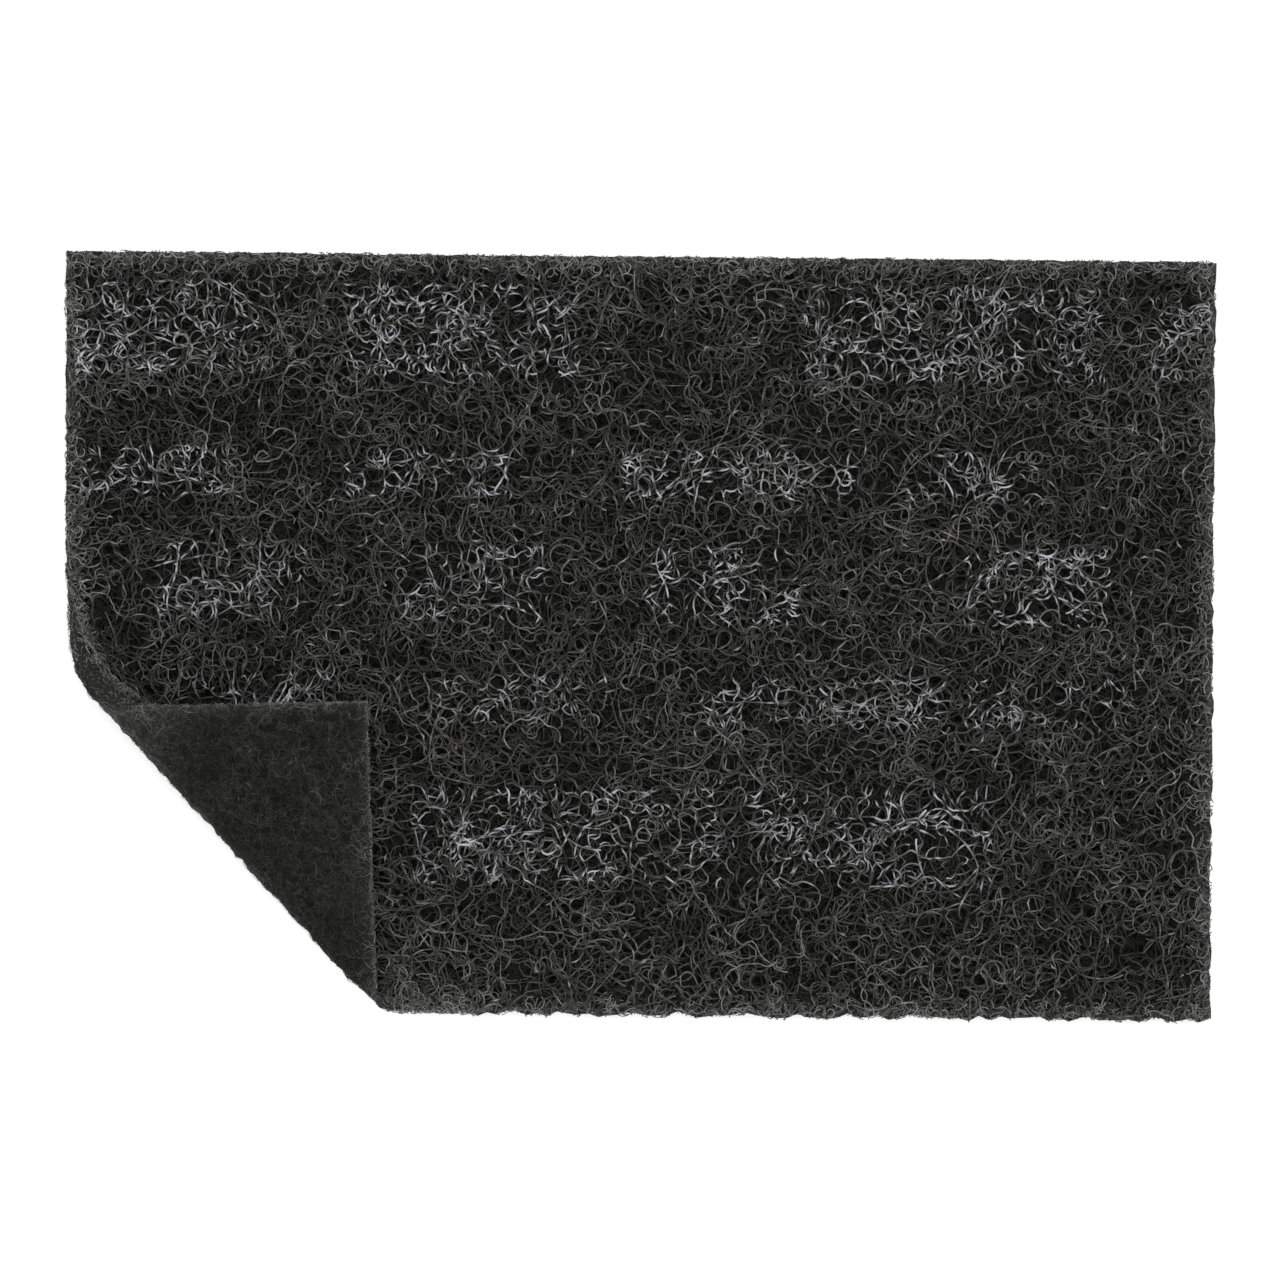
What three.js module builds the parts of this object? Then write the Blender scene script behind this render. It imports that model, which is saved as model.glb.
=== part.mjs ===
// Nylon scouring pad: one rectangle of curly non-woven web with one corner turned over on its face.
// Millimetres, +Z up. The pad lies on its dense, felted back and its open scouring face looks up.
// The flat pad is drawn as u (along the long side), v (across) and depth (up from the back face),
// all measured from the corner that is turned over. The roll of the fold is applied last.

import * as THREE from 'three';

// Cut size
const padLength = 228.6;
const padWidth = 151;
const padThickness = 6;

// The cut is a little out of square: the long sides fall to the right and the right side leans in
const cutSlope = THREE.MathUtils.degToRad(0.57);
const rightLean = 1.1;

// Turned-over corner: how far its tip has travelled, and how steeply the fold runs down to the right
const cornerTravel = 85.9;
const foldAngle = THREE.MathUtils.degToRad(44.5);

// The roll's radius is measured on the back face, halfway along the fold. It opens to a loose cone at
// its upper left end and tightens to a crease at its lower right end, where the web is pinched thin.
// Off the crease the web recovers, which lifts the flap.
const rollRadius = 5.6;
const rollTaper = 0.105;
const creaseRadius = 1.8;
const foldGap = 0.4;
const pinchReach = 14;
const squeezeFade = 8;

// Open web of the scouring face: ridges of fibre round pits, one lattice point in three being a pit
const webSpacing = 2.75;
const webWander = 0.8;
const shallowPit = 1.8;
const deepPit = 3.5;
const highRidge = 0.3;
const lowRidge = 1.1;
const pitEvery = 3;

// Cut edges: the face is rounded down by the knife, the middle bulges, and fibre stands out raggedly.
// The face's and the back's own borders take a share of that raggedness.
const edgeDrop = 1.1;
const edgeInset = 0.8;
const edgeBulge = 0.35;
const edgeRag = 0.45;
const lowerEdgeRag = 0.8;
const outerRingRag = 0.5;

// Felted back face: points sit a little off a plain grid
const feltWander = 0.35;

const firstRandom = 4;
const webColour = 0x2d2d2b;
const webRoughness = 0.88;

const columns = Math.round(padLength / webSpacing);
const rows = 2 * Math.round(padWidth / webSpacing / 2);
const columnStep = padLength / columns;
const rowStep = padWidth / rows;

THREE.MathUtils.seededRandom(firstRandom);

function between(least, most) {
  return least + (most - least) * THREE.MathUtils.seededRandom();
}

// The drawn rectangle with its out-of-square cut
function cutShape(u, v) {
  const lean = rightLean * (u / padLength) * (1 - v / padWidth);
  return { x: u - lean, y: v - u * Math.tan(cutSlope) };
}

// A place on the flat pad, measured along the fold and inward from the corner
function foldFrame(u, v) {
  const { x, y } = cutShape(u, v);
  const along = x * Math.cos(foldAngle) - y * Math.sin(foldAngle);
  const inward = x * Math.sin(foldAngle) + y * Math.cos(foldAngle);
  const radius = Math.max(creaseRadius, rollRadius - rollTaper * along);
  const start = (cornerTravel + Math.PI * radius) / 2;
  return { along, inward, radius, start };
}

function isTurned(u, v) {
  const { inward, start } = foldFrame(u, v);
  return inward < start;
}

// How much the roll pinches the web: all of it on the roll, and less with distance on both sides of it
function pinchAt(u, v) {
  const { along, inward, radius, start } = foldFrame(u, v);
  const pinch = Math.max(0, padThickness + foldGap - radius);
  const offRoll = Math.max(inward - start, start - Math.PI * radius - inward, 0);
  const onRoll = 1 - THREE.MathUtils.smoothstep(offRoll, 0, pinchReach);
  if (inward < start) {
    return pinch * onRoll;
  }
  const pastFlap = (Math.abs(along) + inward - cornerTravel) * Math.SQRT1_2;
  const covered = 1 - THREE.MathUtils.smoothstep(pastFlap, 0, squeezeFade);
  return pinch * onRoll * covered;
}

function thicknessAt(u, v) {
  return padThickness - pinchAt(u, v);
}

// Bends a point of the flat pad round the roll. The back face keeps its length.
function place(u, v, depth) {
  const { x, y } = cutShape(u, v);
  const { along, inward, radius, start } = foldFrame(u, v);
  const past = start - inward;
  if (past <= 0) {
    return new THREE.Vector3(x, y, depth);
  }
  const turn = Math.min(past / radius, Math.PI);
  const flat = past - turn * radius;
  const reach = start - (radius - depth) * Math.sin(turn) + flat;
  const recovered = Math.max(0, padThickness + foldGap - radius) - pinchAt(u, v);
  const height = radius - (radius - depth) * Math.cos(turn) + 2 * recovered;
  return new THREE.Vector3(
    along * Math.cos(foldAngle) + reach * Math.sin(foldAngle),
    reach * Math.cos(foldAngle) - along * Math.sin(foldAngle),
    height,
  );
}

// Collects points and triangles of the one closed surface
const points = [];
const triangles = [];

function addPoint(u, v, depth) {
  points.push(place(u, v, depth));
  return points.length - 1;
}

function addTriangle(a, b, c) {
  triangles.push(a, b, c);
}

// The pad's outline, anticlockwise from the turned corner, each point with its outward direction
function outlineStations() {
  const stations = [];
  const add = (column, row) => {
    const outU = column === 0 ? -1 : column === columns ? 1 : 0;
    const outV = row === 0 ? -1 : row === rows ? 1 : 0;
    stations.push({ u: column * columnStep, v: row * rowStep, outU, outV });
  };
  for (let column = 0; column < columns; column++) add(column, 0);
  for (let row = 0; row < rows; row++) add(columns, row);
  for (let column = columns; column > 0; column--) add(column, rows);
  for (let row = rows; row > 0; row--) add(0, row);
  return stations;
}

const stations = outlineStations();

// One ring round the cut edge, pushed outward by a mean amount plus a ragged share
function edgeRing(outwardMean, ragShare, depthOf) {
  return stations.map(({ u, v, outU, outV }) => {
    const rag = outV < 0 ? lowerEdgeRag : edgeRag;
    const outward = outwardMean + ragShare * between(-rag, rag);
    return addPoint(u + outU * outward, v + outV * outward, depthOf(u, v));
  });
}

function joinRings(lower, upper) {
  lower.forEach((start, k) => {
    const next = (k + 1) % lower.length;
    addTriangle(start, lower[next], upper[next]);
    addTriangle(start, upper[next], upper[k]);
  });
}

// Finds the ring's point at a lattice place on the outline
function ringIndex(column, row) {
  if (row === 0 && column < columns) return column;
  if (column === columns && row < rows) return columns + row;
  if (row === rows && column > 0) return columns + rows + (columns - column);
  return 2 * columns + rows + (rows - row);
}

// A row of the scouring face's lattice, from the left edge to the right. Odd rows stand half a step over.
function webRow(row, ring) {
  const shifted = row % 2;
  const count = shifted ? columns : columns - 1;
  const chain = [{ order: 0, index: ring[ringIndex(0, row)] }];
  for (let n = 0; n < count; n++) {
    const column = shifted ? n : n + 1;
    const u = (column + shifted / 2) * columnStep;
    chain.push({ order: u, index: webPoint(u, row * rowStep, column, row) });
  }
  chain.push({ order: padLength, index: ring[ringIndex(columns, row)] });
  return chain;
}

function webPoint(u, v, column, row) {
  const lattice = column - Math.floor(row / 2) - row;
  const isPit = lattice % pitEvery === 0;
  const dip = isPit ? between(shallowPit, deepPit) : between(highRidge, lowRidge);
  const placedU = u + between(-webWander, webWander);
  const placedV = v + between(-webWander, webWander);
  return addPoint(placedU, placedV, thicknessAt(placedU, placedV) * (1 - dip / padThickness));
}

// The top and bottom rows are the edge ring itself
function edgeRow(row, ring) {
  const chain = [];
  for (let column = 0; column <= columns; column++) {
    chain.push({ order: column * columnStep, index: ring[ringIndex(column, row)] });
  }
  return chain;
}

function joinRows(lower, upper) {
  let low = 0;
  let high = 0;
  while (low < lower.length - 1 || high < upper.length - 1) {
    const lowIsDone = low === lower.length - 1;
    const highIsDone = high === upper.length - 1;
    const lowIsNext = !lowIsDone && (highIsDone || lower[low + 1].order < upper[high + 1].order);
    if (lowIsNext) {
      addTriangle(lower[low].index, lower[low + 1].index, upper[high].index);
      low++;
    } else {
      addTriangle(lower[low].index, upper[high + 1].index, upper[high].index);
      high++;
    }
  }
}

function scouringFace(ring) {
  let previous = edgeRow(0, ring);
  for (let row = 1; row < rows; row++) {
    const next = webRow(row, ring);
    joinRows(previous, next);
    previous = next;
  }
  joinRows(previous, edgeRow(rows, ring));
}

// How many lattice cells the roll and the flap take up along both edges
function turnedCells() {
  let cells = 1;
  while (isTurned(cells * columnStep, 0) || isTurned(0, cells * rowStep)) {
    cells++;
  }
  return cells + 1;
}

// The felted back over the roll and flap, in cells whose diagonals run along the fold
function feltedCorner(ring, cells) {
  const grid = [];
  for (let column = 0; column <= cells; column++) {
    grid.push([]);
    for (let row = 0; row <= cells - column; row++) {
      const onEdge = column === 0 || row === 0;
      const u = column * columnStep + (onEdge ? 0 : between(-feltWander, feltWander));
      const v = row * rowStep + (onEdge ? 0 : between(-feltWander, feltWander));
      grid[column].push(onEdge ? ring[ringIndex(column, row)] : addPoint(u, v, 0));
    }
  }
  for (let column = 0; column < cells; column++) {
    for (let row = 0; row < cells - column; row++) {
      addTriangle(grid[column][row], grid[column][row + 1], grid[column + 1][row]);
      if (column + row + 2 <= cells) {
        addTriangle(grid[column + 1][row], grid[column][row + 1], grid[column + 1][row + 1]);
      }
    }
  }
  return grid;
}

// The rest of the back lies flat on the table
function restingFace(ring, grid, cells) {
  const outline = [];
  for (let k = cells; k <= 2 * columns + 2 * rows - cells; k++) {
    outline.push(ring[k]);
  }
  for (let column = 1; column < cells; column++) {
    outline.push(grid[column][cells - column]);
  }
  const contour = outline.map((index) => new THREE.Vector2(points[index].x, points[index].y));
  for (const [a, b, c] of THREE.ShapeUtils.triangulateShape(contour, [])) {
    addTriangle(outline[a], outline[c], outline[b]);
  }
}

function padGeometry() {
  const backRing = edgeRing(0, outerRingRag, () => 0);
  const middleRing = edgeRing(edgeBulge, 1, (u, v) => thicknessAt(u, v) / 2);
  const faceShare = 1 - edgeDrop / padThickness;
  const faceRing = edgeRing(-edgeInset, outerRingRag, (u, v) => thicknessAt(u, v) * faceShare);
  joinRings(backRing, middleRing);
  joinRings(middleRing, faceRing);
  scouringFace(faceRing);
  const cells = turnedCells();
  const grid = feltedCorner(backRing, cells);
  restingFace(backRing, grid, cells);

  const geometry = new THREE.BufferGeometry().setFromPoints(points);
  geometry.setIndex(triangles);
  geometry.computeVertexNormals();
  return geometry;
}

const geometry = padGeometry();
geometry.computeBoundingBox();
const middle = geometry.boundingBox.getCenter(new THREE.Vector3());

const scouringPad = new THREE.Mesh(
  geometry,
  new THREE.MeshStandardMaterial({ color: webColour, roughness: webRoughness, metalness: 0, flatShading: true }),
);
scouringPad.name = 'scouring_pad';
scouringPad.position.set(-middle.x, -middle.y, -geometry.boundingBox.min.z);

const pad = new THREE.Group();
pad.add(scouringPad);

export default pad;
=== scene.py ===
import math

import bpy
import numpy as np
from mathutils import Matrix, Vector


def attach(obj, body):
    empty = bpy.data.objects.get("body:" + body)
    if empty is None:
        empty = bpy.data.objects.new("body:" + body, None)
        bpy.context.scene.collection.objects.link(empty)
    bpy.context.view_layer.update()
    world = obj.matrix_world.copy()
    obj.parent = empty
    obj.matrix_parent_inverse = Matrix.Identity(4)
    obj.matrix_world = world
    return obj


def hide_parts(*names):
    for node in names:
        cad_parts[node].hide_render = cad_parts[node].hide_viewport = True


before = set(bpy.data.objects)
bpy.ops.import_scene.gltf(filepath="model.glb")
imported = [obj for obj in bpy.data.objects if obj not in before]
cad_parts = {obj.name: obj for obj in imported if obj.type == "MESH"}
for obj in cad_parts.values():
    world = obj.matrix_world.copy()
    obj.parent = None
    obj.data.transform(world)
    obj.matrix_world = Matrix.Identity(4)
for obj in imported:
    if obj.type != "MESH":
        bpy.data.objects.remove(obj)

# The pad is drawn flat in millimetres: u along its long side, v across it and depth up from its felted
# back, all from the corner that is turned over. place() then rolls that corner over, as the solid has it.
METRE = 0.001
PAD_LENGTH = 228.6
PAD_WIDTH = 151.0
PAD_THICKNESS = 6.0
CUT_SLOPE = math.radians(0.57)
RIGHT_LEAN = 1.1
CORNER_TRAVEL = 85.9
FOLD_ANGLE = math.radians(44.5)
ROLL_RADIUS = 5.6
ROLL_TAPER = 0.105
CREASE_RADIUS = 1.8
FOLD_GAP = 0.4
PINCH_REACH = 14.0
SQUEEZE_FADE = 8.0

# Where the drawn corner lies in the part's frame, whose origin is under the middle of the solid's box
CORNER_X = -114.26
CORNER_Y = -74.06

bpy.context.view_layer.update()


def smooth_step(x, low, high):
    t = np.clip((x - low) / (high - low), 0, 1)
    return t * t * (3 - 2 * t)


def cut_shape(u, v):
    lean = RIGHT_LEAN * (u / PAD_LENGTH) * (1 - v / PAD_WIDTH)
    return u - lean, v - u * math.tan(CUT_SLOPE)


def fold_frame(u, v):
    """A flat point's place along the fold and inward from the corner, and the roll's radius and start."""
    x, y = cut_shape(u, v)
    along = x * math.cos(FOLD_ANGLE) - y * math.sin(FOLD_ANGLE)
    inward = x * math.sin(FOLD_ANGLE) + y * math.cos(FOLD_ANGLE)
    radius = np.maximum(CREASE_RADIUS, ROLL_RADIUS - ROLL_TAPER * along)
    start = (CORNER_TRAVEL + math.pi * radius) / 2
    return along, inward, radius, start


def on_back(u, v):
    """True on the roll and the flap, where the felted back is turned up."""
    _, inward, _, start = fold_frame(u, v)
    return inward < start


def full_pinch(radius):
    return np.maximum(0, PAD_THICKNESS + FOLD_GAP - radius)


def pinch_at(u, v):
    """How much the roll pinches the web: all of it on the roll, and less on both sides of it."""
    along, inward, radius, start = fold_frame(u, v)
    off_roll = np.maximum(np.maximum(inward - start, start - math.pi * radius - inward), 0)
    pinch = full_pinch(radius) * (1 - smooth_step(off_roll, 0, PINCH_REACH))
    past_flap = (np.abs(along) + inward - CORNER_TRAVEL) * math.sqrt(0.5)
    covered = 1 - smooth_step(past_flap, 0, SQUEEZE_FADE)
    return np.where(inward < start, pinch, pinch * covered)


def thickness_at(u, v):
    return PAD_THICKNESS - pinch_at(u, v)


def place(u, v, depth):
    """Points of the flat pad in the part's frame, in millimetres, with the corner rolled over."""
    x, y = cut_shape(u, v)
    along, inward, radius, start = fold_frame(u, v)
    past = np.maximum(start - inward, 0)
    turn = np.minimum(past / radius, math.pi)
    flat = past - turn * radius
    reach = start - (radius - depth) * np.sin(turn) + flat
    recovered = full_pinch(radius) - pinch_at(u, v)
    turned = past > 0
    x = np.where(turned, along * math.cos(FOLD_ANGLE) + reach * math.sin(FOLD_ANGLE), x)
    y = np.where(turned, reach * math.cos(FOLD_ANGLE) - along * math.sin(FOLD_ANGLE), y)
    z = np.where(turned, radius - (radius - depth) * np.cos(turn) + 2 * recovered, depth)
    return np.stack([x + CORNER_X, y + CORNER_Y, z], axis=-1)


def edge_distance(u, v):
    """How far inside the drawn outline a flat point lies."""
    return np.minimum(np.minimum(u, PAD_LENGTH - u), np.minimum(v, PAD_WIDTH - v))


# How far the turned corner reaches along both of its cut sides
TURNED_STRETCH = 82.0
# Past it the lower side is torn into tufts and notches, of which most are shallow
TORN_DEPTH = 0.65
TORN_SPACING = 2.0
TORN_POWER = 1.5


def torn_side(rng):
    """A function of u: how far inside the knife's line the lower side ends, or outside it where below 0."""
    places = np.linspace(0, PAD_LENGTH, round(PAD_LENGTH / TORN_SPACING) + 1)
    swing = rng.uniform(-1, 1, len(places))
    depth = TORN_DEPTH * np.sign(swing) * np.abs(swing) ** TORN_POWER * (places > TURNED_STRETCH)
    return lambda u: np.interp(u, places, depth)


def cut_distance(u, v, torn):
    """How far inside the cut a flat point lies, with the lower side torn."""
    return np.minimum(np.minimum(u, PAD_LENGTH - u), np.minimum(v - torn(u), PAD_WIDTH - v))


# How far in from the cut the knife's pull and the painted rim light on the web reach, and how far the painted
# rim light on the felt reaches
CUT_REACH = 1.2
RIM_LIGHT_REACH = 1.6


def near_cut(distance, reach):
    """1 at the cut and outside it, falling away inside."""
    return np.exp(-np.maximum(distance, 0) / reach)


# How many patches lie beyond the pad on each side
PATCH_MARGIN = 2


def soft_patches(rng, spacing, least, most):
    """A function of u and v that varies smoothly between two values, over patches of a given size."""
    across = int(PAD_LENGTH / spacing) + 2 * PATCH_MARGIN + 2
    up = int(PAD_WIDTH / spacing) + 2 * PATCH_MARGIN + 2
    table = rng.uniform(least, most, (across, up))

    def value(u, v):
        # Just short of the table's end, so that each place has a next column and row
        a = np.clip(u / spacing + PATCH_MARGIN, 0, across - 1.001)
        b = np.clip(v / spacing + PATCH_MARGIN, 0, up - 1.001)
        column = a.astype(int)
        row = b.astype(int)
        s = smooth_step(a - column, 0, 1)
        t = smooth_step(b - row, 0, 1)
        low = table[column, row] * (1 - s) + table[column + 1, row] * s
        high = table[column, row + 1] * (1 - s) + table[column + 1, row + 1] * s
        return low * (1 - t) + high * t

    return value


# Materials

def new_material(name):
    material = bpy.data.materials.new(name)
    material.use_nodes = True
    nodes = material.node_tree.nodes
    return material, nodes, material.node_tree.links, nodes["Principled BSDF"]


def noise(nodes, links, scale, detail=2.0, roughness=0.5):
    """A noise texture in the object's own coordinates, with scale in features a metre."""
    coordinates = nodes.new("ShaderNodeTexCoord")
    texture = nodes.new("ShaderNodeTexNoise")
    texture.inputs["Scale"].default_value = scale
    texture.inputs["Detail"].default_value = detail
    texture.inputs["Roughness"].default_value = roughness
    links.new(coordinates.outputs["Object"], texture.inputs["Vector"])
    return texture.outputs["Fac"]


def ramp(nodes, links, value, stops):
    colours = nodes.new("ShaderNodeValToRGB")
    elements = colours.color_ramp.elements
    while len(elements) < len(stops):
        elements.new(0.5)
    for element, (position, colour) in zip(elements, stops):
        element.position = position
        element.color = (*colour, 1)
    links.new(value, colours.inputs["Fac"])
    return colours.outputs["Color"]


def bump(nodes, links, shader, height, distance):
    node = nodes.new("ShaderNodeBump")
    node.inputs["Distance"].default_value = distance
    links.new(height, node.inputs["Height"])
    links.new(node.outputs["Normal"], shader.inputs["Normal"])


def attribute(nodes, name):
    node = nodes.new("ShaderNodeAttribute")
    node.attribute_name = name
    return node.outputs["Fac"]


def mix(nodes, links, factor, first, second, blend="MIX"):
    """Two colours, each a tuple or a socket, mixed by a number or a socket."""
    node = nodes.new("ShaderNodeMix")
    node.data_type = "RGBA"
    node.blend_type = blend
    for value, name in ((factor, "Factor"), (first, "A"), (second, "B")):
        socket = node.inputs[name]
        if isinstance(value, tuple):
            socket.default_value = (*value, 1)
        elif isinstance(value, float):
            socket.default_value = value
        else:
            links.new(value, socket)
    return node.outputs["Result"]


BLACK = (0, 0, 0)
WHITE = (1, 1, 1)
FIBRE_DARK = (0.007, 0.007, 0.006)
FIBRE_LIGHT = (0.320, 0.318, 0.312)
FIBRE_PALE = (0.66, 0.66, 0.70)
# The coat of resin: the shade that it takes off in places, and its patches in features a metre
RESIN_SHADE = (0.42, 0.41, 0.38)
RESIN_SCALE = 1100
# The grit on it: features a metre, and height in metres
GRIT_SCALE = 5000
GRIT_HEIGHT = 0.00005


def fibre_material(name):
    """Resin-coated nylon fibre: grey of uneven depth along a strand, which also carries painted shade and
    painted rim light, gritty, and pale where printed.
    """
    material, nodes, links, shader = new_material(name)
    grey = mix(nodes, links, attribute(nodes, "tone"), FIBRE_DARK, FIBRE_LIGHT)
    patches = noise(nodes, links, RESIN_SCALE, 3)
    patchy = ramp(nodes, links, patches, [(0.3, RESIN_SHADE), (0.7, WHITE)])
    coated = mix(nodes, links, 1.0, grey, patchy, "MULTIPLY")
    colour = mix(nodes, links, attribute(nodes, "pale"), coated, FIBRE_PALE)
    links.new(colour, shader.inputs["Base Color"])
    shader.inputs["Roughness"].default_value = 0.5
    shader.inputs["Specular IOR Level"].default_value = 0.18
    bump(nodes, links, shader, noise(nodes, links, GRIT_SCALE), GRIT_HEIGHT)
    return material


# How the net's cells are warped: features of the warp a cell, and its reach in cells
WARP_DENSITY = 0.8
WARP_REACH = 1.6


def web_net(nodes, links, scale, strand):
    """A net of crossing strands, 1 on a strand and 0 between, from the edges of warped cells."""
    coordinates = nodes.new("ShaderNodeTexCoord")
    warp = nodes.new("ShaderNodeTexNoise")
    warp.inputs["Scale"].default_value = scale * WARP_DENSITY
    links.new(coordinates.outputs["Object"], warp.inputs["Vector"])
    shift = nodes.new("ShaderNodeVectorMath")
    shift.operation = "SCALE"
    shift.inputs["Scale"].default_value = WARP_REACH / scale
    links.new(warp.outputs["Color"], shift.inputs[0])
    moved = nodes.new("ShaderNodeVectorMath")
    links.new(coordinates.outputs["Object"], moved.inputs[0])
    links.new(shift.outputs["Vector"], moved.inputs[1])
    cells = nodes.new("ShaderNodeTexVoronoi")
    cells.feature = "DISTANCE_TO_EDGE"
    cells.inputs["Scale"].default_value = scale
    links.new(moved.outputs["Vector"], cells.inputs["Vector"])
    return ramp(nodes, links, cells.outputs["Distance"], [(0.0, WHITE), (strand, BLACK)])


# Two nets of strands lie over each other: cells a metre, and a strand's half width in cells
NETS = [(520, 0.16), (400, 0.14)]
NET_HEIGHT = 0.0003
# The deep web between its strands and on them: painted near black under the open face, as shade, and lighter
# at the cut, as painted rim light
DEEP_PAINTED_SHADE = [(0.005, 0.005, 0.005), (0.028, 0.028, 0.026)]
DEEP_PAINTED_RIM_LIGHT = [(0.045, 0.045, 0.043), (0.16, 0.16, 0.155)]


def deep_web_material():
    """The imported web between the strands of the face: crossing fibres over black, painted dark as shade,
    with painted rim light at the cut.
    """
    material, nodes, links, shader = new_material("deep_web")
    upper, lower = [web_net(nodes, links, *size) for size in NETS]
    net = mix(nodes, links, 1.0, upper, lower, "LIGHTEN")
    # Painted shade in the deep web, and painted rim light near the cut
    painted_dark = mix(nodes, links, net, *DEEP_PAINTED_SHADE)
    painted_lit = mix(nodes, links, net, *DEEP_PAINTED_RIM_LIGHT)
    links.new(mix(nodes, links, attribute(nodes, "painted_light"), painted_dark, painted_lit), shader.inputs["Base Color"])
    shader.inputs["Roughness"].default_value = 0.95
    shader.inputs["Specular IOR Level"].default_value = 0.05
    bump(nodes, links, shader, net, NET_HEIGHT)
    return material


# The felt: its fine tangle and its soft blotches, in features a metre
TANGLE_SCALE = 4200
TANGLE_HEIGHT = 0.0002
BLOTCH_SCALE = 160
BLOTCH_SHADE = (0.7, 0.7, 0.7)
# Its colours in the tangle's gaps and on its fibres, each with its place on the noise: its own, and lighter
# with painted sheen and light
FELT_OWN = [(0.38, (0.001, 0.001, 0.001)), (0.66, (0.024, 0.024, 0.022))]
FELT_PAINTED_LIGHT = [(0.38, (0.012, 0.012, 0.011)), (0.66, (0.075, 0.075, 0.072))]


def felt_material():
    """The dense back: near-black felt with soft blotches and a fine tangle, greyer where painted sheen and
    light lie.
    """
    material, nodes, links, shader = new_material("felted_back")
    tangle = noise(nodes, links, TANGLE_SCALE, 5, 0.75)
    # The felt's own colour, and a lighter one for painted sheen and light
    own_colour = ramp(nodes, links, tangle, FELT_OWN)
    painted_lit = ramp(nodes, links, tangle, FELT_PAINTED_LIGHT)
    colour = mix(nodes, links, attribute(nodes, "painted_light"), own_colour, painted_lit)
    blotches = noise(nodes, links, BLOTCH_SCALE, 3)
    soft = ramp(nodes, links, blotches, [(0.3, BLOTCH_SHADE), (0.7, WHITE)])
    links.new(mix(nodes, links, 1.0, colour, soft, "MULTIPLY"), shader.inputs["Base Color"])
    shader.inputs["Roughness"].default_value = 0.9
    shader.inputs["Specular IOR Level"].default_value = 0.1
    shader.inputs["Sheen Weight"].default_value = 0.06
    bump(nodes, links, shader, tangle, TANGLE_HEIGHT)
    return material


# Pieces

def new_piece(name, vertices, faces, materials):
    mesh = bpy.data.meshes.new(name)
    mesh.from_pydata((vertices * METRE).tolist(), [], faces.tolist())
    mesh.shade_smooth()
    for material in materials:
        mesh.materials.append(material)
    piece = bpy.data.objects.new(name, mesh)
    bpy.context.scene.collection.objects.link(piece)
    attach(piece, "root")
    print(f"{name}: {2 * len(faces)} triangles")
    return piece


def set_attribute(piece, name, values):
    layer = piece.data.attributes.new(name, "FLOAT", "POINT")
    layer.data.foreach_set("value", np.ascontiguousarray(values, dtype=np.float32))


# How sharply a strand kinks, in radians, and how much the radius of its arc drifts from step to step
KINK_TURN = 0.6
ARC_DRIFT = 0.15


def wandering(rng, count, steps, step, tight, loose, flip, kink):
    """Headings of curly strands. Each keeps to an arc for a while, of a radius from tight to loose, and then
    curls the other way. Flip and kink say how often it does so, and how often it kinks, in a millimetre."""
    heading = rng.uniform(0, 2 * math.pi, count)
    sign = rng.choice([-1.0, 1.0], count)
    bend = np.exp(rng.uniform(np.log(tight), np.log(loose), count))
    headings = np.empty((count, steps))
    for n in range(steps):
        headings[:, n] = heading
        flips = rng.random(count) < flip * step
        kinks = np.where(rng.random(count) < kink * step, rng.normal(0, KINK_TURN, count), 0)
        sign = np.where(flips, -sign, sign)
        fresh = np.exp(rng.uniform(np.log(tight), np.log(loose), count))
        drifted = bend * np.exp(rng.normal(0, ARC_DRIFT, count))
        bend = np.clip(np.where(flips, fresh, drifted), tight, loose)
        heading = heading + sign * step / bend + kinks
    return headings


def follow(u, v, headings, step):
    """Places along strands that start at u, v and go along their headings."""
    us = u[:, None] + step * np.cumsum(np.cos(headings), axis=1)
    vs = v[:, None] + step * np.cumsum(np.sin(headings), axis=1)
    return us, vs


# How far a strand's lower borders lie under its middle, in radii
STRAND_SKIRT = 0.45


def strands(name, u, v, depth, radius, outward, keep, tone, pale, material):
    """The kept runs of many strands as one piece. Each is an arched strip with its ridge facing outward."""
    run_u = np.gradient(u, axis=1)
    run_v = np.gradient(v, axis=1)
    run = np.hypot(run_u, run_v) + 1e-9
    side_u = -run_v / run * radius
    side_v = run_u / run * radius
    link = keep[:, :-1] & keep[:, 1:]
    used = np.pad(link, ((0, 0), (1, 0))) | np.pad(link, ((0, 0), (0, 1)))
    ring_of = np.cumsum(used.ravel()).reshape(used.shape) - 1
    low = depth - outward * STRAND_SKIRT * radius
    right = place(u - side_u, v - side_v, low)
    ridge = place(u, v, depth + outward * radius)
    left = place(u + side_u, v + side_v, low)
    vertices = np.stack([right[used], ridge[used], left[used]], axis=1).reshape(-1, 3)
    start = ring_of[:, :-1][link] * 3
    end = ring_of[:, 1:][link] * 3
    rising = np.stack([start, end, end + 1, start + 1], axis=1)
    falling = np.stack([start + 1, end + 1, end + 2, start + 2], axis=1)
    faces = np.concatenate([rising, falling])
    if outward < 0:
        faces = faces[:, ::-1]
    piece = new_piece(name, vertices, faces, [material])
    set_attribute(piece, "tone", np.repeat(tone[used], 3))
    set_attribute(piece, "pale", np.repeat(pale[used], 3))


# Pits are the open cells of the web: one in each square of a coarse grid, off its centre. Each pushes strands
# away from as far as its reach, in times its own size.
PIT_CELL = 5.2
PIT_LEAST = 0.3
PIT_MOST = 2.2
PIT_REACH = 2.2
# Where in its square a pit's middle may lie, and how many squares lie beyond the pad on each side
PIT_PLACES = (0.1, 0.9)
PIT_MARGIN = 3


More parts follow.
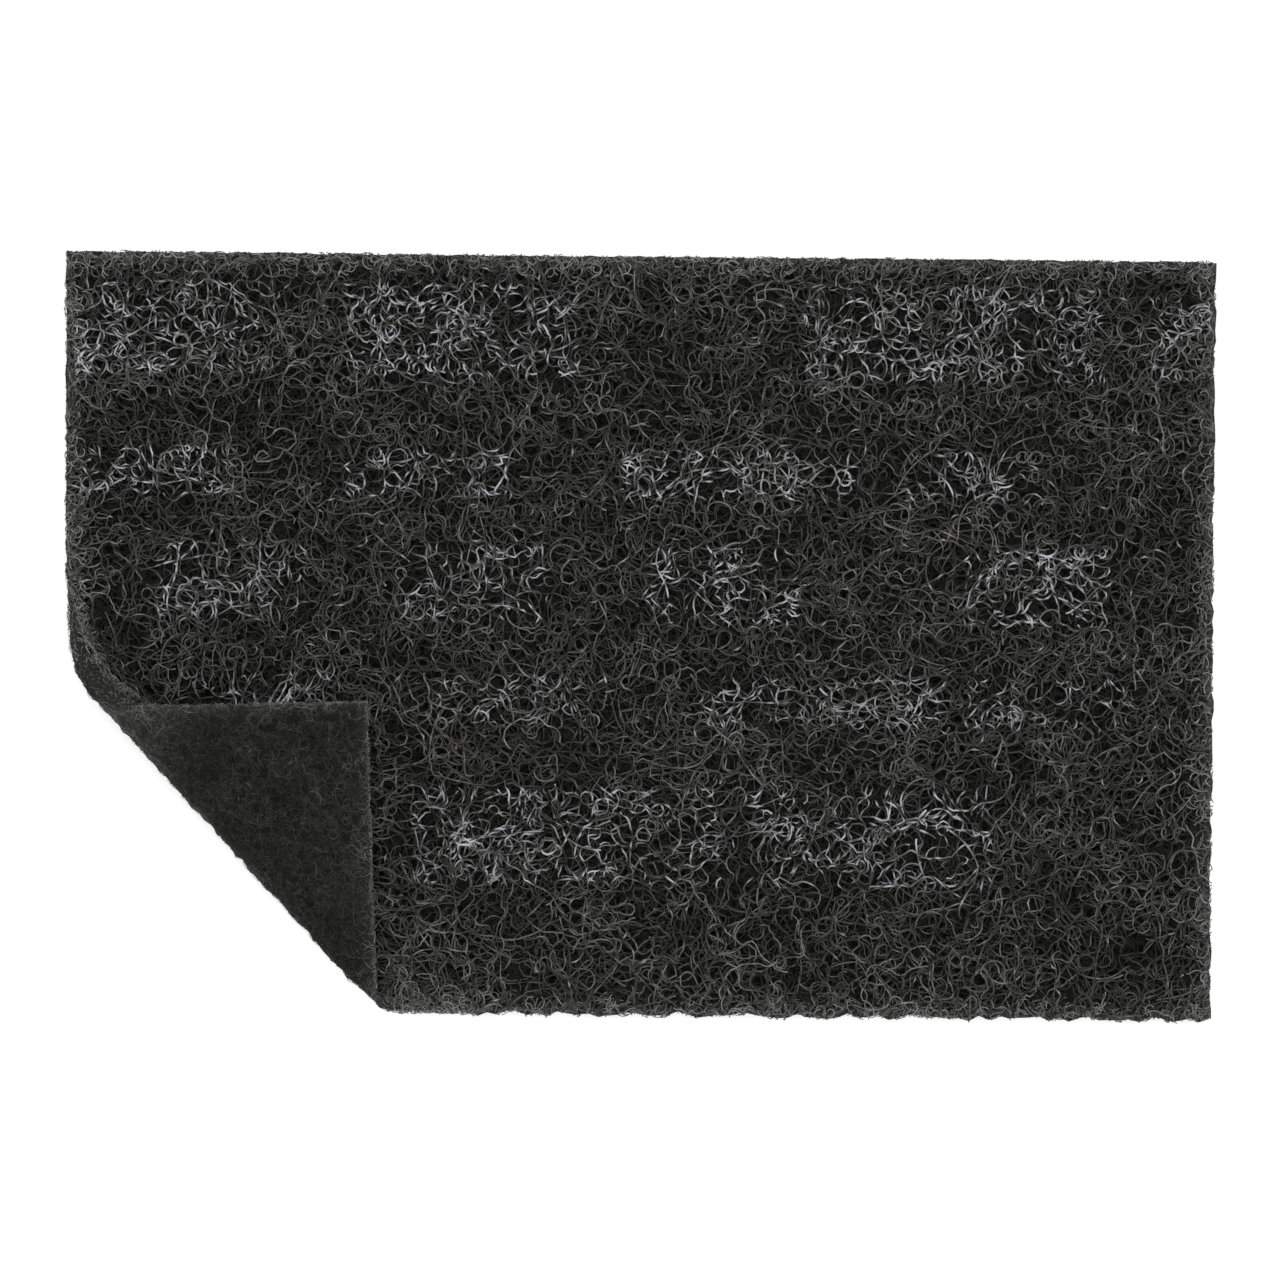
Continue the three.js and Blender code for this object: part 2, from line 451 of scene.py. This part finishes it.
def pit_table(rng):
    """The pits' centres and sizes, by column and row."""
    across = int(PAD_LENGTH / PIT_CELL) + 2 * PIT_MARGIN + 2
    up = int(PAD_WIDTH / PIT_CELL) + 2 * PIT_MARGIN + 2
    corner = np.stack(np.meshgrid(np.arange(across), np.arange(up), indexing="ij"), axis=-1) - PIT_MARGIN
    centre = (corner + rng.uniform(*PIT_PLACES, corner.shape)) * PIT_CELL
    return centre, rng.uniform(PIT_LEAST, PIT_MOST, corner.shape[:2])


def open_pits(u, v, pits, amount):
    """Pushes strands out of the pits, so that they crowd round the rims."""
    centre, size = pits
    column = np.clip(np.floor(u / PIT_CELL).astype(int) + PIT_MARGIN, 1, size.shape[0] - 2)
    row = np.clip(np.floor(v / PIT_CELL).astype(int) + PIT_MARGIN, 1, size.shape[1] - 2)
    push_u = np.zeros_like(u)
    push_v = np.zeros_like(v)
    for side in (-1, 0, 1):
        for above in (-1, 0, 1):
            at = centre[column + side, row + above]
            radius = size[column + side, row + above] * amount
            away_u = u - at[..., 0]
            away_v = v - at[..., 1]
            distance = np.hypot(away_u, away_v) + 1e-6
            push = radius * np.clip(1 - distance / (radius * PIT_REACH + 1e-6), 0, 1)
            push_u += push * away_u / distance
            push_v += push * away_v / distance
    return u + push_u, v + push_v


# Pale resin print on the tips of the face: plain blocks, broken up by the open web. Each row has the place
# of its middle across the pad, its height, and where its blocks begin and end along the pad.
PRINT_ROWS = [
    (35.5, 19.0, [(69, 131), (136, 185)]),
    (62.5, 9.5, [(21, 53), (74, 108), (128, 175), (179, 213)]),
    (85.5, 15.0, [(18, 48), (67, 96), (116, 146), (179, 208)]),
    (107.5, 9.5, [(2, 34), (56, 88), (111, 157), (167, 195)]),
    (136.0, 18.5, [(2, 46), (56, 102), (147, 206), (216, 228)]),
]


def print_cover(u, v):
    """1 inside the printed blocks and 0 outside them."""
    cover = np.zeros_like(u)
    for middle, height, blocks in PRINT_ROWS:
        in_row = np.abs(v - middle) < height / 2
        for start, end in blocks:
            cover[in_row & (u > start) & (u < end)] = 1
    return cover


WEB_STEP = 0.9
WEB_STEPS = 28
WEB_RADIUS = 0.13
# Each layer of the open web: name, shallowest and deepest place under the face, and usual brightness, lower
# in the deeper layers as painted shade
WEB_LAYERS = [
    ("web_face", 0.2, 0.9, 0.31),
    ("web_upper", 0.6, 1.8, 0.28),
    ("web_middle", 1.4, 2.8, 0.25),
    ("web_lower", 2.4, 3.8, 0.22),
]
STRANDS_PER_LAYER = 2550
# How far outside the pad a strand may start. Strands end between the least length and the most, which is
# longer than the full run, so that some run all of it.
START_MARGIN = 9
LEAST_LENGTH = 8
MOST_LENGTH = WEB_STEPS * WEB_STEP * 1.3
# Share of the strands that sweep in long arcs instead of curling, and the arcs' radii
SWEEPING = 0.25
SWEEPING_ARCS = (5.0, 22.0)
CURLY_ARCS = (1.1, 4.5)
WEB_FLIPS = 0.25
WEB_KINKS = 0.2
# How strongly the pits push the strands apart
PIT_PUSH = 0.5
# Each strand rises and falls: by how much, and over what length
WAVE_HEIGHTS = (0.3, 0.9)
WAVE_LENGTHS = (4, 9)
# The least web that stays under a strand
WEB_FLOOR = 0.5
# At the cut the knife pulls the face down by this much, painted rim light makes it brighter by this much, and
# each strand ends within these distances inside it
CUT_PULL = 0.5
WEB_PAINTED_RIM_LIGHT = 0.25
CUT_ENDS = (-0.1, 0.5)
# How unevenly bright the strands are, from one to the next and along each
STRAND_SPREAD = 0.45
ALONG_SPREAD = 0.42
# How much darker the deepest strands are painted, as painted shade, and where that painted shade begins and
# ends under the face
PAINTED_DEPTH_SHADE = 0.75
SHADED_DEPTHS = (0.3, 3.6)
# Print and beads lie on the strands' tips: fully down to the first depth, and no deeper than the second
TIPS_FULL = 0.4
TIPS_END = 1.2
# Random numbers break the print into flecks: no print below the first value, and all of it above the second
FLECKS = (0.5, 0.7)
# Beads of resin, pale in part and painted paler as highlights where they catch the light: their share of the
# places along the strands
BEAD_SHARE = 0.008
BEAD_GLINT_PALENESS = 0.6
# How uneven the strands' thickness is, and how much thicker resin print makes them
RADIUS_SPREAD = 0.15
PRINT_THICKNESS = 0.3


def rough_along(rng, shape):
    """Random numbers of unit spread that run on smoothly along each strand."""
    loose = rng.normal(0, 1, shape)
    return (loose + np.roll(loose, 1, axis=1) + np.roll(loose, 2, axis=1)) / math.sqrt(3)


def web_places(rng, pits):
    """Flat places along one layer's strands."""
    count = STRANDS_PER_LAYER
    u = rng.uniform(-START_MARGIN, PAD_LENGTH + START_MARGIN, count)
    v = rng.uniform(-START_MARGIN, PAD_WIDTH + START_MARGIN, count)
    sweeping = rng.random(count) < SWEEPING
    tight = np.where(sweeping, SWEEPING_ARCS[0], CURLY_ARCS[0])
    loose = np.where(sweeping, SWEEPING_ARCS[1], CURLY_ARCS[1])
    headings = wandering(rng, count, WEB_STEPS, WEB_STEP, tight, loose, WEB_FLIPS, WEB_KINKS)
    us, vs = follow(u, v, headings, WEB_STEP)
    return open_pits(us, vs, pits, PIT_PUSH)


def web_waves(rng, travel, high, low):
    """How far the strands lie under the face, as they rise and fall round depths from high to low."""
    count = STRANDS_PER_LAYER
    middle = rng.uniform(high, low, count)[:, None]
    wave = rng.uniform(*WAVE_HEIGHTS, count)[:, None]
    length = rng.uniform(*WAVE_LENGTHS, count)[:, None]
    phase = rng.uniform(0, 2 * math.pi, count)[:, None]
    below = middle + wave * np.sin(2 * math.pi * travel / length + phase)
    return np.clip(below, WEB_RADIUS, PAD_THICKNESS - WEB_FLOOR)


def web_paleness(rng, us, vs, below, printed):
    """How pale print and beads of resin, with their painted highlights, make the strands' tips."""
    tips = smooth_step(-below, -TIPS_END, -TIPS_FULL)
    flecks = smooth_step(rng.random(us.shape), *FLECKS)
    pale = print_cover(us, vs) * printed(us, vs) * tips * flecks * ~on_back(us, vs)
    # Beads: pale resin with painted highlights
    beads = BEAD_GLINT_PALENESS * (rng.random(us.shape) < BEAD_SHARE) * tips
    return np.clip(np.maximum(pale, beads), 0, 1)


def web_layer(rng, torn, pits, patches, printed, material, name, high, low, brightness):
    count = STRANDS_PER_LAYER
    us, vs = web_places(rng, pits)
    travel = np.arange(WEB_STEPS) * WEB_STEP
    below = web_waves(rng, travel, high, low)
    inside = cut_distance(us, vs, torn)
    near = near_cut(inside, CUT_REACH)
    depth = thickness_at(us, vs) * (1 - (below + CUT_PULL * near) / PAD_THICKNESS)
    keep = inside > rng.uniform(*CUT_ENDS, count)[:, None]
    keep &= travel < rng.uniform(LEAST_LENGTH, MOST_LENGTH, count)[:, None]
    spread = rng.normal(0, STRAND_SPREAD, count)[:, None] + ALONG_SPREAD * rough_along(rng, us.shape)
    # Painted shade: strands deeper under the face are painted darker
    painted_shade = 1 - PAINTED_DEPTH_SHADE * smooth_step(below, *SHADED_DEPTHS)
    # Painted rim light: strands near the cut are painted brighter
    tone = (brightness * np.exp(spread) * painted_shade + WEB_PAINTED_RIM_LIGHT * near) * patches(us, vs)
    pale = web_paleness(rng, us, vs, below, printed)
    radius = WEB_RADIUS * (1 + rng.normal(0, RADIUS_SPREAD, (count, 1)) + PRINT_THICKNESS * pale)
    strands(name, us, vs, depth, radius, 1, keep, tone, pale, material)


# The core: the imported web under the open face, with the felted back as its underside
CORE_CELL = 2.0
# How deep it lies under the face, and how much less so at the cut, where the knife has packed it
CORE_DROP = 3.7
CORE_RISE = 2.3
# The least and the most that the core's border stands out past the cut, on each side and the turned corner
LOWER, RIGHT, UPPER, LEFT, TURNED = range(5)
BORDER_OUT = [(-0.3, 0.1), (-0.3, 0.4), (-0.35, 0.0), (-0.35, 0.0), (-0.7, -0.3)]
# How uneven the core's top is
CORE_SPREAD = 0.25
# The felt's soft lumps
LUMP_SPACING = 1.6
LUMP_HEIGHT = 0.35

# Painted sheen and light on the felt. The sheen lies on the crown of the roll, within about this angle in
# radians
CROWN_SPREAD = 0.6
CROWN_PAINTED_SHEEN = 0.6
# Painted light grows towards both ends of the roll, between these places along the fold, less so at the right
# end
LEFT_END = (12, 42)
RIGHT_END = (30, 60)
RIGHT_SHARE = 0.5
END_PAINTED_LIGHT = 0.7
# Both fade out over this length of the flap. More painted rim light lies along the cut.
FLAP_FADE = 8
CUT_PAINTED_RIM_LIGHT = 0.9


def painted_light_at(u, v):
    """How much painted sheen and light lie on the felt, up to 1."""
    along, inward, radius, start = fold_frame(u, v)
    past = start - inward
    crown = np.exp(-((past / radius - math.pi / 2) / CROWN_SPREAD) ** 2)
    ends = smooth_step(-along, *LEFT_END) + RIGHT_SHARE * smooth_step(along, *RIGHT_END)
    on_roll = 1 - smooth_step(past - math.pi * radius, 0, FLAP_FADE)
    edge = near_cut(edge_distance(u, v), RIM_LIGHT_REACH)
    return np.clip((CROWN_PAINTED_SHEEN * crown + END_PAINTED_LIGHT * ends) * on_roll + CUT_PAINTED_RIM_LIGHT * edge, 0, 1)


def ragged(rng, count, side):
    return rng.uniform(*BORDER_OUT[side], count)


def core_grid(rng, torn):
    """The core's columns and rows of flat places, with its border pushed out unevenly."""
    columns = round(PAD_LENGTH / CORE_CELL)
    rows = round(PAD_WIDTH / CORE_CELL)
    across = np.linspace(0, PAD_LENGTH, columns + 1)
    up = np.linspace(0, PAD_WIDTH, rows + 1)
    u, v = np.meshgrid(across, up, indexing="ij")
    turned_columns = across < TURNED_STRETCH
    turned_rows = up < TURNED_STRETCH
    low = np.where(turned_columns, ragged(rng, columns + 1, TURNED), ragged(rng, columns + 1, LOWER))
    left = np.where(turned_rows, ragged(rng, rows + 1, TURNED), ragged(rng, rows + 1, LEFT))
    v[:, 0] += torn(across) - low
    v[:, -1] += ragged(rng, columns + 1, UPPER)
    u[0] -= left
    u[-1] += ragged(rng, rows + 1, RIGHT)
    return u, v


def core_piece(rng, torn, lumps):
    u, v = core_grid(rng, torn)
    near = near_cut(cut_distance(u, v, torn), CUT_REACH)
    drop = CORE_DROP - CORE_RISE * near + rng.normal(0, CORE_SPREAD, u.shape)
    top = place(u, v, thickness_at(u, v) * (1 - drop / PAD_THICKNESS))
    back = place(u, v, np.where(on_back(u, v), lumps(u, v), 0))
    vertices = np.concatenate([top.reshape(-1, 3), back.reshape(-1, 3)])
    grid = np.arange(u.size).reshape(u.shape)
    cells = [grid[:-1, :-1], grid[1:, :-1], grid[1:, 1:], grid[:-1, 1:]]
    top_faces = np.stack([c.ravel() for c in cells], axis=1)
    back_faces = (top_faces + grid.size)[:, ::-1]
    border = np.concatenate([grid[:, 0], grid[-1, 1:], grid[-2::-1, -1], grid[0, -2:0:-1]])
    after = np.roll(border, -1)
    sides = np.stack([border + grid.size, after + grid.size, after, border], axis=1)
    faces = np.concatenate([top_faces, sides, back_faces])
    piece = new_piece("pad_core", vertices, faces, [deep_web_material(), felt_material()])
    slots = np.ones(len(faces), np.int32)
    slots[:len(top_faces)] = 0
    piece.data.polygons.foreach_set("material_index", slots)
    # The top carries painted rim light near the cut, the felted back painted sheen and light
    set_attribute(piece, "painted_light", np.concatenate([near.ravel(), painted_light_at(u, v).ravel()]))
    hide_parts("scouring_pad")


# Fibres of the cut edge: a close fuzz over the whole cut side, painted light as rim light. It stands out past
# the knife's line in an uneven fringe.
EDGE_STEP = 0.6
EDGE_STEPS = 7
EDGE_STRANDS = 5600
EDGE_RADIUS = 0.1
EDGE_BAND = 2.2
# How far fibre stands out at most, and how bright it is painted as rim light, on the lower, right, upper and
# left sides
EDGE_REACH = [0.5, 0.6, 0.25, 0.25]
EDGE_RIM_LIGHT_TONE = [0.8, 0.85, 1.1, 0.9]
# The same on the turned corner, and the share of the strands that go there, as its cut side faces up
TURNED_REACH = 0.4
TURNED_RIM_LIGHT_TONE = 0.75
TURNED_SHARE = 0.3
# The strands' arcs, and how often they curl the other way or kink
EDGE_ARCS = (0.7, 3.0)
EDGE_FLIPS = 0.2
EDGE_KINKS = 0.2
# Above 1, these crowd the strands towards the cut and towards the open face
INSET_POWER = 1.3
HEIGHT_POWER = 1.3
# How far inside both faces the strands start, how far they stay under the open face, how steeply they climb
# and how they wave on the way. The wave starts at up to this angle in radians.
EDGE_MARGIN = 0.3
TOP_MARGIN = 0.35
CLIMB = 0.4
EDGE_WAVE = 0.25
EDGE_WAVE_LENGTH = 0.9
EDGE_WAVE_START = 6
# Lengths of the uneven stretches in which the fringe stands out, coarse and fine
STRETCHES = (3.1, 0.9)
# How unevenly bright the strands are, from one to the next and along each, and their brightness at the back
EDGE_SPREAD = 0.45
EDGE_ALONG_SPREAD = 0.3
BACK_BRIGHTNESS = 0.6
# Frayed strands are pale, and the rest are a little so
FRAYED_SHARE = 0.05
FRAYED_PALENESS = 0.35
USUAL_PALENESS = 0.08
PERIMETER = 2 * (PAD_LENGTH + PAD_WIDTH)
# Where the lower, right, upper and left sides begin along the outline
SIDE_STARTS = np.array([0, PAD_LENGTH, PAD_LENGTH + PAD_WIDTH, 2 * PAD_LENGTH + PAD_WIDTH])


def uneven(rng, spacing, at):
    """Numbers from 0 to 1 that vary along the pad's outline, over stretches of a given length."""
    values = rng.random(int(PERIMETER / spacing) + 2)
    return np.interp(at % PERIMETER, np.arange(len(values)) * spacing, values)


def outline_places(rng, count):
    """Places along the pad's outline, more of them on the turned corner. Each comes as its distance along a
    side, that side's number, and whether it is turned."""
    at = rng.uniform(0, PERIMETER, count)
    extra = rng.random(count) < TURNED_SHARE
    at = np.where(extra, rng.uniform(-TURNED_STRETCH, TURNED_STRETCH, count) % PERIMETER, at)
    side = np.searchsorted(SIDE_STARTS[1:], at)
    turned = (at < TURNED_STRETCH) | (at > PERIMETER - TURNED_STRETCH)
    return at - SIDE_STARTS[side], side, turned


def fringe_heights(rng, travel, turned):
    """How high the fringe's strands lie, as shares of the web's thickness."""
    count = len(turned)
    climb = rng.normal(0, CLIMB, count)[:, None]
    height = rng.random(count)
    height = np.where(turned, height, 1 - height ** HEIGHT_POWER)[:, None]
    base = EDGE_MARGIN + (PAD_THICKNESS - 2 * EDGE_MARGIN) * height
    phase = rng.uniform(0, EDGE_WAVE_START, count)[:, None]
    depth = base + climb * travel + EDGE_WAVE * np.sin(travel / EDGE_WAVE_LENGTH + phase)
    return np.clip(depth, EDGE_RADIUS, PAD_THICKNESS - TOP_MARGIN) / PAD_THICKNESS


def edge_fringe(rng, torn, material):
    count = EDGE_STRANDS
    run, side, turned = outline_places(rng, count)
    reach = np.where(turned, TURNED_REACH, np.array(EDGE_REACH)[side])
    # Painted rim light: the fringe is painted brighter than the web
    usual = np.where(turned, TURNED_RIM_LIGHT_TONE, np.array(EDGE_RIM_LIGHT_TONE)[side])[:, None]
    inset = -reach + (reach + EDGE_BAND) * rng.random(count) ** INSET_POWER
    u = np.choose(side, [run, PAD_LENGTH - inset, PAD_LENGTH - run, inset])
    v = np.choose(side, [torn(run) + inset, run, PAD_WIDTH - inset, PAD_WIDTH - run])
    headings = wandering(rng, count, EDGE_STEPS, EDGE_STEP, *EDGE_ARCS, EDGE_FLIPS, EDGE_KINKS)
    us, vs = follow(u, v, headings, EDGE_STEP)
    share = fringe_heights(rng, np.arange(EDGE_STEPS) * EDGE_STEP, turned)
    along = np.choose(side[:, None], [us, PAD_LENGTH + vs, SIDE_STARTS[3] - us, PERIMETER - vs])
    coarse, fine = [uneven(rng, spacing, along) for spacing in STRETCHES]
    keep = cut_distance(us, vs, torn) > -reach[:, None] * (coarse + fine) / 2
    spread = rng.normal(0, EDGE_SPREAD, (count, 1)) + EDGE_ALONG_SPREAD * rough_along(rng, us.shape)
    tone = usual * np.exp(spread) * (BACK_BRIGHTNESS + (1 - BACK_BRIGHTNESS) * share)
    frayed = rng.random((count, 1)) < FRAYED_SHARE
    pale = np.where(frayed, FRAYED_PALENESS, USUAL_PALENESS) * np.ones_like(us)
    radius = EDGE_RADIUS * np.ones_like(us)
    strands("edge_fringe", us, vs, share * thickness_at(us, vs), radius, 1, keep, tone, pale, material)


# Fine fibres of the felted back, where the turned-over corner shows it
FELT_STEP = 0.75
FELT_STEPS = 11
FELT_STRANDS = 4600
FELT_RADIUS = 0.055
# Where along both sides a fibre may start, and how many places are drawn for each fibre, as only some of them
# lie on the turned-up back
FELT_PLACES = (-1, 88)
FELT_TRIES = 3
FELT_ARCS = (0.9, 4.0)
FELT_FLIPS = 0.2
FELT_KINKS = 0.2
# How deep the fibres are sunk in the felt, and how far they wave in and out of it, over these lengths
FELT_SINK = 0.06
FELT_WAVE = 0.1
FELT_WAVE_LENGTHS = (0.6, 1.6)
# Share of the fibres that have come loose, and how far they wave in and out of the felt
LOOSE_SHARE = 0.15
LOOSE_WAVE = 0.35
# How bright the fibres are on the felt, how much more so where painted sheen and light lie, and how uneven
# that is
FELT_TONE = 0.1
FELT_PAINTED_LIGHT_TONE = 0.3
FELT_SPREAD = 0.5
FELT_ALONG_SPREAD = 0.3


def felt_fibres(rng, lumps, patches, material):
    u = rng.uniform(*FELT_PLACES, FELT_STRANDS * FELT_TRIES)
    v = rng.uniform(*FELT_PLACES, FELT_STRANDS * FELT_TRIES)
    chosen = np.flatnonzero(on_back(u, v))[:FELT_STRANDS]
    count = len(chosen)
    headings = wandering(rng, count, FELT_STEPS, FELT_STEP, *FELT_ARCS, FELT_FLIPS, FELT_KINKS)
    us, vs = follow(u[chosen], v[chosen], headings, FELT_STEP)
    travel = np.arange(FELT_STEPS) * FELT_STEP
    phase = rng.uniform(0, 2 * math.pi, count)[:, None]
    wave = np.where(rng.random(count) < LOOSE_SHARE, LOOSE_WAVE, FELT_WAVE)[:, None]
    length = rng.uniform(*FELT_WAVE_LENGTHS, count)[:, None]
    depth = lumps(us, vs) - FELT_SINK + wave * np.sin(travel / length + phase)
    keep = edge_distance(us, vs) > 0
    spread = rng.normal(0, FELT_SPREAD, (count, 1)) + FELT_ALONG_SPREAD * rough_along(rng, us.shape)
    # Painted sheen and light brighten the felt's fibres
    tone = (FELT_TONE + FELT_PAINTED_LIGHT_TONE * painted_light_at(us, vs)) * np.exp(spread) * patches(us, vs)
    radius = FELT_RADIUS * np.ones_like(us)
    strands("felt_fibres", us, vs, depth, radius, -1, keep, tone, np.zeros_like(us), material)


FIRST_RANDOM = 20
# Patches over which the strands' brightness and the print's paleness vary: size, least and most
BRIGHTNESS_PATCHES = (9.0, 0.7, 1.3)
PRINT_PATCHES = (4.0, 0.1, 1.2)
FELT_PATCHES = (6.0, 0.7, 1.3)


def build_pad():
    rng = np.random.default_rng(FIRST_RANDOM)
    fibre = fibre_material("web_fibre")
    pits = pit_table(rng)
    patches = soft_patches(rng, *BRIGHTNESS_PATCHES)
    printed = soft_patches(rng, *PRINT_PATCHES)
    lumps = soft_patches(rng, LUMP_SPACING, -LUMP_HEIGHT, LUMP_HEIGHT)
    torn = torn_side(rng)
    core_piece(rng, torn, lumps)
    for layer in WEB_LAYERS:
        web_layer(rng, torn, pits, patches, printed, fibre, *layer)
    edge_fringe(rng, torn, fibre)
    felt_fibres(rng, lumps, soft_patches(rng, *FELT_PATCHES), fibre)


# Floor, light and camera

FLOOR_HALF = 3.0
FLOOR_GREY = (0.9, 0.9, 0.9)
# Light that only the camera sees on the floor, so that it shows white with a faint shadow
FLOOR_LIFT = 0.55
# Strength of the light from all round
SKY_LIGHT = 0.55


def floor():
    mesh = bpy.data.meshes.new("floor")
    h = FLOOR_HALF
    mesh.from_pydata([(-h, -h, 0), (h, -h, 0), (h, h, 0), (-h, h, 0)], [], [(0, 1, 2, 3)])
    plane = bpy.data.objects.new("floor", mesh)
    bpy.context.scene.collection.objects.link(plane)
    material, nodes, links, shader = new_material("floor")
    shader.inputs["Base Color"].default_value = (*FLOOR_GREY, 1)
    shader.inputs["Roughness"].default_value = 1
    shader.inputs["Specular IOR Level"].default_value = 0
    shader.inputs["Emission Color"].default_value = (*WHITE, 1)
    path = nodes.new("ShaderNodeLightPath")
    lift = nodes.new("ShaderNodeMath")
    lift.operation = "MULTIPLY"
    lift.inputs[1].default_value = FLOOR_LIFT
    links.new(path.outputs["Is Camera Ray"], lift.inputs[0])
    links.new(lift.outputs["Value"], shader.inputs["Emission Strength"])
    mesh.materials.append(material)


def sky():
    """Soft white light from all round. It shows as plain white to the camera."""
    world = bpy.data.worlds.new("studio")
    bpy.context.scene.world = world
    world.use_nodes = True
    nodes = world.node_tree.nodes
    links = world.node_tree.links
    soft = nodes["Background"]
    soft.inputs["Color"].default_value = (*WHITE, 1)
    soft.inputs["Strength"].default_value = SKY_LIGHT
    plain = nodes.new("ShaderNodeBackground")
    plain.inputs["Color"].default_value = (*WHITE, 1)
    plain.inputs["Strength"].default_value = 1.0
    path = nodes.new("ShaderNodeLightPath")
    chosen = nodes.new("ShaderNodeMixShader")
    links.new(path.outputs["Is Camera Ray"], chosen.inputs["Fac"])
    links.new(soft.outputs["Background"], chosen.inputs[1])
    links.new(plain.outputs["Background"], chosen.inputs[2])
    links.new(chosen.outputs["Shader"], nodes["World Output"].inputs["Surface"])


def softbox(name, location, size, power):
    """A square lamp that faces the pad."""
    light = bpy.data.lights.new(name, "AREA")
    light.size = size
    light.energy = power
    lamp = bpy.data.objects.new(name, light)
    lamp.location = location
    lamp.rotation_euler = (-Vector(location)).to_track_quat("-Z", "Y").to_euler()
    bpy.context.scene.collection.objects.link(lamp)


# The photograph's scale, in pixels a millimetre, and its size in pixels
PHOTO_SCALE = 5.02
PHOTO_SIDE = 1280
CAMERA_HEIGHT = 2.4
# Where over the pad it stands, so that the pad lies in the picture as in the photograph
CAMERA_OFFSET = (0.0, -0.0006)
SENSOR_WIDTH = 36


def camera():
    """Looks straight down, from far enough off that the pad shows almost no perspective."""
    data = bpy.data.cameras.new("camera")
    data.sensor_width = SENSOR_WIDTH
    data.lens = SENSOR_WIDTH * CAMERA_HEIGHT / (PHOTO_SIDE / PHOTO_SCALE * METRE)
    data.clip_end = 20
    eye = bpy.data.objects.new("camera", data)
    eye.location = (*CAMERA_OFFSET, CAMERA_HEIGHT)
    bpy.context.scene.collection.objects.link(eye)
    bpy.context.scene.camera = eye


build_pad()
floor()
sky()
softbox("key", location=(-0.1, 0.5, 1.8), size=1.0, power=9)
softbox("fill", location=(0.8, -0.6, 1.4), size=1.2, power=4)
camera()
bpy.context.scene.view_settings.view_transform = "Standard"
